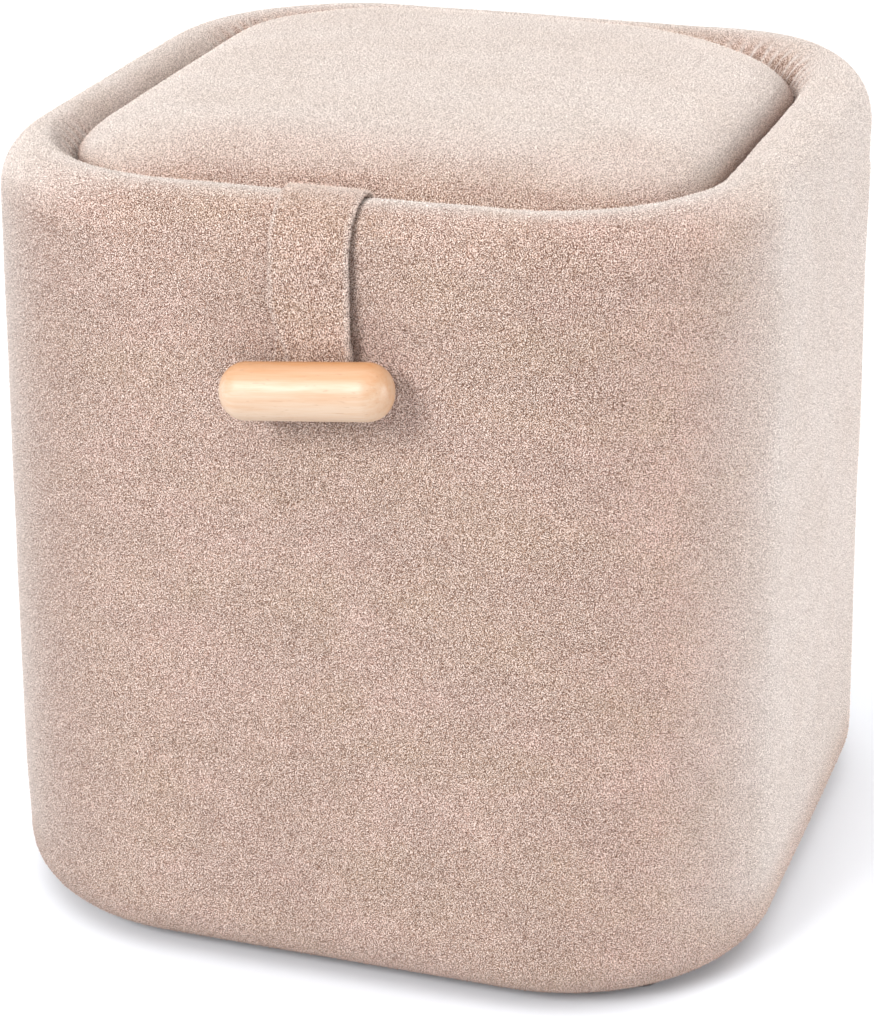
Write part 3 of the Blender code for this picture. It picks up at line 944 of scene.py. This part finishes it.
def soften_seat(mesh):
    """Slight unevenness of the lid's padding, and the strap's dent in its side."""
    bm = bmesh.new()
    bm.from_mesh(mesh)
    sizes = bpy.context.scene.pouf_cover

    def relief(place, normal):
        if place.z < SEAT_LOW.z + 0.006:
            return 0.0
        wide = 0.8 * noise.noise(place * 13.0 + Vector((9, 2, 0)))
        raised = sizes.unevenness * (wide + 0.35 * noise.noise(place * 31.0))
        if normal.y > -0.3:
            return raised
        left, right = row_value(STRAP_FRONT_ROWS, place.z)
        under_strap = ramp(-0.005, 0.002, min(place.x - left, right - place.x))
        low = ramp(COVER_HIGH.z + 0.001, COVER_HIGH.z - 0.006, place.z)
        return raised - STRAP_ROOM * under_strap * low

    push_out(bm, relief)
    bm.to_mesh(mesh)
    bm.free()


# ---------------------------------------------------------------- shapes of strap and toggle

SEWN_Y = -0.1493             # where the strap is sewn to the lid's side, from the box's middle
INNER_BEND = math.radians(148)   # the rim's roll, from its outer side to where the strap leaves it
BEND_GAP = 0.0020            # middle of the strap off the rim there


def front_rim(angle, gap):
    """(y, z) of a line that follows the front rim's section at a gap from it."""
    half, _, swell, height = rim_level(angle)
    ahead = rim_level(angle + 0.01)
    behind = rim_level(angle - 0.01)
    y, z = -(half + swell), height
    step = Vector((-(ahead[0] + ahead[2]) + behind[0] + behind[2], ahead[3] - behind[3]))
    step.normalize()
    return y - step.y * gap, z + step.x * gap


def strap_line():
    """Middle line of the strap as (y, z, layer), from the lid's side to the turned-back end."""
    sizes = bpy.context.scene.pouf_strap
    cover = bpy.context.scene.pouf_cover
    line = []

    # up from the lid's side
    first_y, first_z = front_rim(INNER_BEND, BEND_GAP)
    for height in np.linspace(sizes.inner_end, first_z - 0.003, 9):
        ease = ramp(sizes.inner_end, first_z, height)
        line.append((SEWN_Y + (first_y - SEWN_Y) * ease, height, "front"))

    # over the rim and down the front
    for angle in np.linspace(INNER_BEND, 0, 26):
        down = ramp(math.radians(70), 0.0, angle)
        gap = sizes.crest_gap + (sizes.front_gap - sizes.crest_gap) * down
        gap += (BEND_GAP - sizes.crest_gap) * ramp(math.radians(100), INNER_BEND, angle)
        y, z = front_rim(angle, gap)
        line.append((y, z, "front"))
    roll_foot = COVER_HIGH.z - cover.under_pile - cover.roll_height
    for height in np.linspace(roll_foot, sizes.front_end, 22)[1:]:
        part = (roll_foot - height) / (roll_foot - sizes.back_end)
        ease = min(1.0, part) ** 2
        y = -(wall_half(height) + cover.swell) - sizes.front_gap - sizes.layer_pitch * ease
        line.append((y, height, "front"))

    # round the fold and up behind the toggle
    turn = sizes.layer_pitch / 2
    turn_y = -(wall_half(sizes.front_end) + cover.swell) - sizes.front_gap - turn
    for angle in np.linspace(0, math.pi, 8)[1:-1]:
        line.append((turn_y - turn * math.cos(angle),
                     sizes.front_end - turn * math.sin(angle), "back"))
    for height in np.linspace(sizes.front_end, sizes.back_end, 10):
        line.append((-(wall_half(height) + cover.swell) - sizes.front_gap, height, "back"))
    return line


FLAT_STEPS = 18
EDGE_STEPS = 6


def strap_section(width, thickness):
    """The strap's section as (across, out): stitched lines near both edges, round edges."""
    sizes = bpy.context.scene.pouf_strap
    reach = width / 2 - thickness / 2
    section = []
    for side in (1, -1):
        for across in np.linspace(-reach * side, reach * side, FLAT_STEPS):
            inset = width / 2 - abs(across)
            groove = sizes.stitch_depth * bump(inset - sizes.stitch_inset, 0.0018)
            bead = 0.35 * sizes.stitch_depth * bump(inset - 0.0008, 0.0016)
            section.append((across, side * (thickness / 2 - groove + bead)))
        for angle in np.linspace(math.pi / 2, -math.pi / 2, EDGE_STEPS + 2)[1:-1]:
            bulge = thickness / 2
            section.append((side * (reach + bulge * math.cos(angle)),
                            side * bulge * math.sin(angle)))
    return section


def strap_rings():
    """Rings of points along the strap, each its section set square to the line."""
    sizes = bpy.context.scene.pouf_strap
    line = strap_line()
    rings = []
    for number, (y, z, layer) in enumerate(line):
        before, after = line[max(0, number - 1)], line[min(len(line) - 1, number + 1)]
        tangent = Vector((0.0, after[0] - before[0], after[1] - before[1])).normalized()
        out = Vector((0.0, tangent.z, -tangent.y))
        left, right = row_value(STRAP_FRONT_ROWS if layer == "front" else STRAP_BACK_ROWS, z)
        middle = Vector(((left + right) / 2, y + BOX_MIDDLE.y, z))
        section = strap_section(right - left, sizes.thickness)
        waver = 0.00025 * noise.noise(Vector((number * 0.35, 1.0, 0.0)))
        rings.append([middle + Vector((across + waver, 0, 0)) + out * height
                      for across, height in section])
    return rings, line


def toggle_axis_y():
    """Y of the toggle's axis: the middle of its node's front and the radius behind it."""
    return TOGGLE_LOW.y + bpy.context.scene.pouf_toggle.radius


def toggle_mesh():
    """The toggle: a profile spun round X, with a flat for the strap in its back."""
    sizes = bpy.context.scene.pouf_toggle
    straight = sizes.long / 2 - sizes.end_round
    nose = sizes.radius - sizes.end_round
    half = [(straight + sizes.end_round * math.cos(turn), nose + sizes.end_round * math.sin(turn))
            for turn in np.linspace(0, math.pi / 2, 16)]
    half = [(sizes.long / 2, 0.0)] + half
    middle = [(along, sizes.radius) for along in np.linspace(straight, -straight, 24)[1:-1]]
    profile = half + middle + [(-along, out) for along, out in reversed(half)]
    bm = bmesh.new()
    verts = [bm.verts.new((along, out, 0.0)) for along, out in profile]
    edges = [bm.edges.new(pair) for pair in zip(verts, verts[1:])]
    bmesh.ops.spin(bm, geom=verts + edges, cent=(0, 0, 0), axis=(1, 0, 0),
                   angle=math.tau, steps=72, use_merge=True)
    flat = sizes.radius - sizes.seat_depth
    for vert in bm.verts:
        if abs(vert.co.x) < sizes.seat_length / 2:
            vert.co.y = min(vert.co.y, flat)
    place = Matrix.Translation((sizes.centre_x, toggle_axis_y(), sizes.centre_z))
    bmesh.ops.transform(bm, matrix=place @ Matrix.Rotation(-sizes.tilt, 4, "Y"), verts=bm.verts)
    return mesh_from("toggle_turned", bm)


# ---------------------------------------------------------------- pile

def tuft_object():
    """One short, leaning tuft of pile, with its height in the attribute 'tip'."""
    sizes = bpy.context.scene.pouf_pile
    bm = bmesh.new()
    tip = bm.verts.layers.float.new("tip")
    bmesh.ops.create_cone(bm, cap_ends=True, segments=3, radius1=sizes.width / 2, radius2=0.0,
                          depth=sizes.height)
    for vert in bm.verts:
        vert[tip] = 0.5 + vert.co.z / sizes.height
        vert.co.x += 0.35 * sizes.width * vert[tip]
        vert.co.z += sizes.height / 2 - sizes.sunk
    mesh = mesh_from("tuft", bm)
    mesh.shade_smooth()
    tuft = bpy.data.objects.new("tuft", mesh)
    bpy.context.scene.collection.objects.link(tuft)
    return tuft


def random_vector(tree, low, high, seed):
    """A random vector for each tuft."""
    inputs = {"Min": low, "Max": high, "Seed": seed}
    node = add_node(tree, "FunctionNodeRandomValue", inputs, data_type="FLOAT_VECTOR")
    return next(socket for socket in node.outputs if socket.type == "VECTOR")


def pile_tree(tuft, zone, seed, pitch):
    """Geometry nodes that set tufts on the faces whose 'zone' is the given one."""
    sizes = bpy.context.scene.pouf_pile
    tree = bpy.data.node_groups.new("pile", "GeometryNodeTree")
    for direction in ("INPUT", "OUTPUT"):
        tree.interface.new_socket("Geometry", in_out=direction, socket_type="NodeSocketGeometry")
    start = add_node(tree, "NodeGroupInput")
    mark = add_node(tree, "GeometryNodeInputNamedAttribute", {"Name": "zone"}, data_type="INT")
    same = add_node(tree, "FunctionNodeCompare", data_type="INT", operation="EQUAL")
    first, second = [socket for socket in same.inputs if socket.type == "INT"]
    plug(tree, first, next(socket for socket in mark.outputs
                           if socket.name == "Attribute" and socket.type == "INT"))
    plug(tree, second, zone)
    spread = {"Mesh": start.outputs[0], "Selection": same.outputs[0], "Seed": seed,
              "Distance Min": pitch, "Density Max": sizes.crowding / pitch ** 2}
    points = add_node(tree, "GeometryNodeDistributePointsOnFaces", spread,
                      distribute_method="POISSON")
    upright = {"Name": "ground", "Geometry": points.outputs["Points"],
               "Value": points.outputs["Normal"]}
    ground = add_node(tree, "GeometryNodeStoreNamedAttribute", upright,
                      data_type="FLOAT_VECTOR", domain="POINT")
    lean = random_vector(tree, (-sizes.lean, -sizes.lean, 0.0),
                         (sizes.lean, sizes.lean, math.tau), seed + 1)
    turned = add_node(tree, "FunctionNodeRotateRotation", {0: points.outputs["Rotation"], 1: lean},
                      rotation_space="LOCAL")
    shape = add_node(tree, "GeometryNodeObjectInfo", {"Object": tuft})
    copies = {"Points": ground.outputs["Geometry"], "Instance": shape.outputs["Geometry"],
              "Rotation": turned.outputs[0],
              "Scale": random_vector(tree, (0.75, 0.75, 0.6), (1.3, 1.3, 1.15), seed + 2)}
    copies = add_node(tree, "GeometryNodeInstanceOnPoints", copies)
    real = add_node(tree, "GeometryNodeRealizeInstances", {0: copies.outputs[0]})
    add_node(tree, "NodeGroupOutput", {0: real.outputs[0]})
    return tree


FLAT_AXES = {"x": (1, 2), "y": (0, 2), "z": (0, 1)}


def lay_map(mesh, facing):
    """Give tufts a flat map seen along an axis, which a bake of their colours reads."""
    flat = rows_of(mesh.vertices, "co", 3, np.float32)[:, FLAT_AXES[facing]]
    low, high = flat.min(0), flat.max(0)
    flat = 0.01 + 0.98 * (flat - low) / (high - low)
    corners = rows_of(mesh.loops, "vertex_index", 1, np.int32)[:, 0]
    layer = mesh.uv_layers.new(name="OFBake")
    layer.uv.foreach_set("vector", flat[corners].ravel())


EDGE_CROWDING = 0.6          # the strap's tufts are this much closer


def grow_pile(name, under, zone, facing, body, material, seed):
    """Grow one stretch of pile on a piece, as a mesh of its own that rides on a body."""
    tuft = tuft_object()
    carrier = bpy.data.objects.new(name + "_ground", under.data.copy())
    bpy.context.scene.collection.objects.link(carrier)
    growth = carrier.modifiers.new("pile", "NODES")
    pitch = bpy.context.scene.pouf_pile.pitch * (EDGE_CROWDING if name == "pile_strap" else 1.0)
    growth.node_group = pile_tree(tuft, zone, seed, pitch)
    mesh = baked_mesh(carrier)
    mesh.name = name
    lay_map(mesh, facing)
    bpy.data.objects.remove(carrier)
    bpy.data.objects.remove(tuft)
    piece = link_piece(name, mesh, material)
    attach(piece, body)
    return piece


def mark_zones(mesh, zone):
    """Write each face's zone of pile into the attribute 'zone'."""
    marks = mesh.attributes.new("zone", "INT", "FACE")
    values = [zone(face.center, face.normal) for face in mesh.polygons]
    marks.data.foreach_set("value", values)


LEFT_CREVICE = 0.35          # the painted crevice shade is weaker at the front left
FOOT_SHADE = 0.47            # painted shade that rises from the floor
SEAM_SHADE = 0.50
STRAP_SHADE = 0.42           # painted shadow beside the strap, where its pile is also pressed


def cover_shade(place):
    """Painted shade on the cover, from 0 to 1: in the crevice, rising from the floor at the foot,
    darker along the seam, and a painted shadow beside the strap.
    """
    sizes = bpy.context.scene.pouf_cover
    side = place - BOX_MIDDLE
    straight = sizes.inner_half - sizes.inner_corner
    past = Vector((max(0.0, abs(side.x) - straight), max(0.0, abs(side.y) - straight)))
    inside = ramp(sizes.inner_corner + 0.006, sizes.inner_corner, past.length)
    deep = inside * ramp(COVER_HIGH.z - 0.005, COVER_HIGH.z - 0.020, place.z)
    deep *= LEFT_CREVICE + (1 - LEFT_CREVICE) * ramp(-0.20, 0.05, side.x + side.y)
    foot = max(FOOT_SHADE * ramp(COVER_LOW.z + 0.045, COVER_LOW.z + 0.016, place.z),
               ramp(COVER_LOW.z + 0.013, COVER_LOW.z + 0.002, place.z))
    if side.y > -sizes.inner_half:
        return max(deep, foot)
    seam = SEAM_SHADE * bump(side.x - seam_x(place.z), sizes.seam_width)
    seam *= ramp(COVER_HIGH.z - 0.010, COVER_HIGH.z - 0.035, place.z)
    left, right = row_value(STRAP_FRONT_ROWS, place.z)
    beside = STRAP_SHADE * max(bump(side.x - left + 0.0012, 0.0040),
                               bump(side.x - right - 0.0018, 0.0060))
    beside *= ramp(0.302, 0.306, place.z)
    beside *= ramp(COVER_HIGH.z - 0.001, COVER_HIGH.z - 0.03, place.z)
    return max(deep, foot, seam, beside)


def seat_shade(place):
    """Painted shade on the lid's side, from 0 to 1, deeper where it goes down into the crevice."""
    shoulder = bpy.context.scene.pouf_seat.shoulder
    return ramp(shoulder + 0.010, shoulder - 0.003, place.z)


def strap_edge_highlight(place):
    """Painted highlight on the strap's beaded edges: how near a place is to them, from 0 to 1."""
    left, right = row_value(STRAP_FRONT_ROWS, place.z)
    return bump(min(place.x - left, right - place.x) - 0.0005, 0.0024)


def mark_depth(mesh, name, depth):
    """Write a value of each vertex's place into an attribute."""
    marks = mesh.attributes.new(name, "FLOAT", "POINT")
    marks.data.foreach_set("value", [depth(vert.co) for vert in mesh.vertices])


def make_finer(piece):
    """Subdivide a piece's mesh once."""
    finer = piece.modifiers.new("finer", "SUBSURF")
    finer.levels = finer.render_levels = 1
    piece.data = baked_mesh(piece)
    piece.modifiers.clear()


# ---------------------------------------------------------------- operators

class POUF_OT_cover(Operator):
    """Make the padded fleece cover of the box"""

    bl_idname = "pouf.cover"
    bl_label = "Box cover"

    def execute(self, context):
        places = ring_places()
        levels = cover_levels()
        bm = bmesh.new()
        first = edges = start_ring(bm, square_ring(places, *levels[0]))
        for level in levels[1:]:
            edges = next_ring(bm, edges, square_ring(places, *level))
        bmesh.ops.bridge_loops(bm, edges=first + edges)
        bmesh.ops.recalc_face_normals(bm, faces=bm.faces)
        push_out(bm, cover_relief)
        mesh = mesh_from("cover", bm)
        mark_zones(mesh, zone_of)
        mark_depth(mesh, "shade", cover_shade)
        cover = link_piece("cover", mesh, fleece_material("fleece_box"))
        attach(cover, "box")
        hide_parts("box_cover")
        return {"FINISHED"}


class POUF_OT_seat(Operator):
    """Make the padded lid that is the seat"""

    bl_idname = "pouf.seat"
    bl_label = "Seat"

    def execute(self, context):
        seat = link_piece("seat", seat_mesh(), fleece_material("fleece_seat"))
        puff_up(seat)
        make_finer(seat)
        soften_seat(seat.data)
        mark_zones(seat.data, lambda centre, normal: int(centre.z > SEAT_LOW.z + 0.002))
        mark_depth(seat.data, "shade", seat_shade)
        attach(seat, "lid")
        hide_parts("seat_pad")
        return {"FINISHED"}


class POUF_OT_strap(Operator):
    """Make the fleece strap that lifts the lid"""

    bl_idname = "pouf.strap"
    bl_label = "Pull strap"

    def execute(self, context):
        rings, line = strap_rings()
        bm = bmesh.new()
        first = edges = start_ring(bm, rings[0])
        for ring in rings[1:]:
            edges = next_ring(bm, edges, ring)
        bmesh.ops.holes_fill(bm, edges=first, sides=0)
        bmesh.ops.holes_fill(bm, edges=edges, sides=0)
        mesh = mesh_from("strap", bm)
        mark_zones(mesh, lambda centre, normal: 1)
        mark_depth(mesh, "edge", strap_edge_highlight)
        strap = link_piece("strap", mesh, fleece_material("fleece_strap", comb=1.5,
                                                          comb_turn=math.radians(20), warm=0.12,
                                                          sheen_most=0.50, dark=0.18))
        make_finer(strap)
        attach(strap, "lid")
        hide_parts("pull_strap")
        return {"FINISHED"}


class POUF_OT_toggle(Operator):
    """Make the turned beech toggle"""

    bl_idname = "pouf.toggle"
    bl_label = "Toggle"

    def execute(self, context):
        toggle = link_piece("toggle_beech", toggle_mesh(), beech_material())
        toggle.data.set_sharp_from_angle(angle=math.radians(40))
        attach(toggle, "lid")
        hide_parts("toggle")
        return {"FINISHED"}


class POUF_OT_base(Operator):
    """Finish the base board and the glides"""

    bl_idname = "pouf.base"
    bl_label = "Base and glides"

    def execute(self, context):
        board, plastic = board_material(), glide_material()
        for name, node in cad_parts.items():
            if name == "base_panel" or name.startswith("glide_"):
                node.data.materials.clear()
                node.data.materials.append(board if name == "base_panel" else plastic)
        return {"FINISHED"}


class POUF_OT_pile(Operator):
    """Grow the short pile on the cover, seat and strap"""

    bl_idname = "pouf.pile"
    bl_label = "Pile"

    def execute(self, context):
        seed = context.scene.pouf_pile.seed
        tufts = fleece_material("fleece_tufts", tufts=True)
        strap_tufts = fleece_material("fleece_strap_tufts", warm=0.12, sheen_most=0.50, dark=0.18,
                                       tufts=True)
        stretches = (
            ("pile_front", "cover", 1, "y", "box", tufts),
            ("pile_right", "cover", 2, "x", "box", tufts),
            ("pile_back", "cover", 3, "y", "box", tufts),
            ("pile_left", "cover", 4, "x", "box", tufts),
            ("pile_rim", "cover", 5, "z", "box", tufts),
            ("pile_seat", "seat", 1, "z", "lid", tufts),
            ("pile_strap", "strap", 1, "y", "lid", strap_tufts),
        )
        for number, (name, under, zone, facing, body, material) in enumerate(stretches):
            grow_pile(name, bpy.data.objects[under], zone, facing, body, material,
                      seed + 10 * number)
        return {"FINISHED"}


# softboxes: name, place, what it is aimed at, width and depth, spread in degrees
SOFTBOXES = (
    ("ceiling", (-0.4, 0.3, 4.0), (-0.4, 0.3, 0.0), (6.0, 6.0), 180),
    ("key", (-1.75, -3.80, 2.75), (0.0, BOX_MIDDLE.y, 0.2), (1.8, 1.8), 180),
    ("side", (1.6, 0.30, 0.38), (0.19, 0.02, 0.24), (1.1, 0.6), 80),
)


class POUF_OT_stage(Operator):
    """Set up the floor, the lights and the camera"""

    bl_idname = "pouf.stage"
    bl_label = "Stage"

    def execute(self, context):
        scene = context.scene
        sizes = scene.pouf_stage
        self.make_floor(scene, sizes)
        self.make_world(scene, sizes)
        for name, place, target, size, spread in SOFTBOXES:
            self.make_softbox(name + "_softbox", place, target, size, spread, getattr(sizes, name))
        self.make_camera(scene, sizes)
        scene.view_settings.view_transform = "Standard"
        return {"FINISHED"}

    def make_floor(self, scene, sizes):
        bm = bmesh.new()
        bmesh.ops.create_grid(bm, x_segments=1, y_segments=1, size=sizes.floor_half)
        make = Finish("floor_pale", 0.9)
        make.give(Base_Color=(*scene.pouf_colours.floor, 1.0), Specular_IOR_Level=0.0)
        floor = link_piece("floor", mesh_from("floor", bm), make.material)

    def make_world(self, scene, sizes):
        world = bpy.data.worlds.new("white_room")
        scene.world = world
        world.use_nodes = True
        back = world.node_tree.nodes["Background"]
        back.inputs["Color"].default_value = (1.0, 1.0, 1.0, 1.0)
        back.inputs["Strength"].default_value = sizes.sky

    def make_softbox(self, name, place, target, size, spread, watts):
        light = bpy.data.lights.new(name, "AREA")
        light.shape = "RECTANGLE"
        light.size, light.size_y = size
        light.energy = watts
        light.spread = math.radians(spread)
        lamp = bpy.data.objects.new(name, light)
        bpy.context.scene.collection.objects.link(lamp)
        lamp.location = place
        aim = Vector(target) - Vector(place)
        lamp.rotation_euler = aim.to_track_quat("-Z", "Y").to_euler()

    def make_camera(self, scene, sizes):
        turned = (Matrix.Rotation(sizes.turn, 4, "Z")
                  @ Matrix.Rotation(math.pi / 2 - sizes.rise, 4, "X")
                  @ Matrix.Rotation(sizes.roll, 4, "Z"))
        target = BOX_MIDDLE + Vector((sizes.target_x, 0.0, sizes.target_z))
        place = target + turned.to_3x3() @ Vector((0.0, 0.0, sizes.distance))
        lens = bpy.data.cameras.new("camera")
        lens.sensor_width = 36.0
        lens.lens = sizes.lens
        lens.clip_start = 0.01
        camera = bpy.data.objects.new("camera", lens)
        scene.collection.objects.link(camera)
        camera.matrix_world = Matrix.Translation(place) @ turned
        scene.camera = camera


class VIEW3D_PT_pouf(Panel):
    """Lists the pouf's operators and sizes"""

    bl_label = "Pouf stool"
    bl_idname = "VIEW3D_PT_pouf"
    bl_space_type = "VIEW_3D"
    bl_region_type = "UI"
    bl_category = "Pouf"

    def draw(self, context):
        for operator, sizes in PANEL_ROWS:
            box = self.layout.box()
            box.operator(operator)
            group = getattr(context.scene, sizes)
            for name in group.__annotations__:
                box.prop(group, name)


PANEL_ROWS = (
    ("pouf.cover", "pouf_cover"),
    ("pouf.seat", "pouf_seat"),
    ("pouf.strap", "pouf_strap"),
    ("pouf.toggle", "pouf_toggle"),
    ("pouf.base", "pouf_colours"),
    ("pouf.pile", "pouf_pile"),
    ("pouf.stage", "pouf_stage"),
)
GROUPS = {
    "pouf_cover": PoufCoverSizes,
    "pouf_seat": PoufSeatSizes,
    "pouf_strap": PoufStrapSizes,
    "pouf_toggle": PoufToggleSizes,
    "pouf_pile": PoufPileSizes,
    "pouf_colours": PoufColours,
    "pouf_stage": PoufStage,
}
CLASSES = (
    *GROUPS.values(),
    POUF_OT_cover,
    POUF_OT_seat,
    POUF_OT_strap,
    POUF_OT_toggle,
    POUF_OT_base,
    POUF_OT_pile,
    POUF_OT_stage,
    VIEW3D_PT_pouf,
)


def register():
    """Register the classes and give the scene its sizes."""
    for item in CLASSES:
        bpy.utils.register_class(item)
    for name, group in GROUPS.items():
        setattr(bpy.types.Scene, name, PointerProperty(type=group))


def unregister():
    """Take the sizes and the classes away again."""
    for name in GROUPS:
        delattr(bpy.types.Scene, name)
    for item in reversed(CLASSES):
        bpy.utils.unregister_class(item)


def main():
    """Make every piece and the stage."""
    register()
    bpy.ops.pouf.cover()
    bpy.ops.pouf.seat()
    bpy.ops.pouf.strap()
    bpy.ops.pouf.toggle()
    bpy.ops.pouf.base()
    bpy.ops.pouf.pile()
    bpy.ops.pouf.stage()
    bpy.context.view_layer.update()


if __name__ == "__main__":
    main()
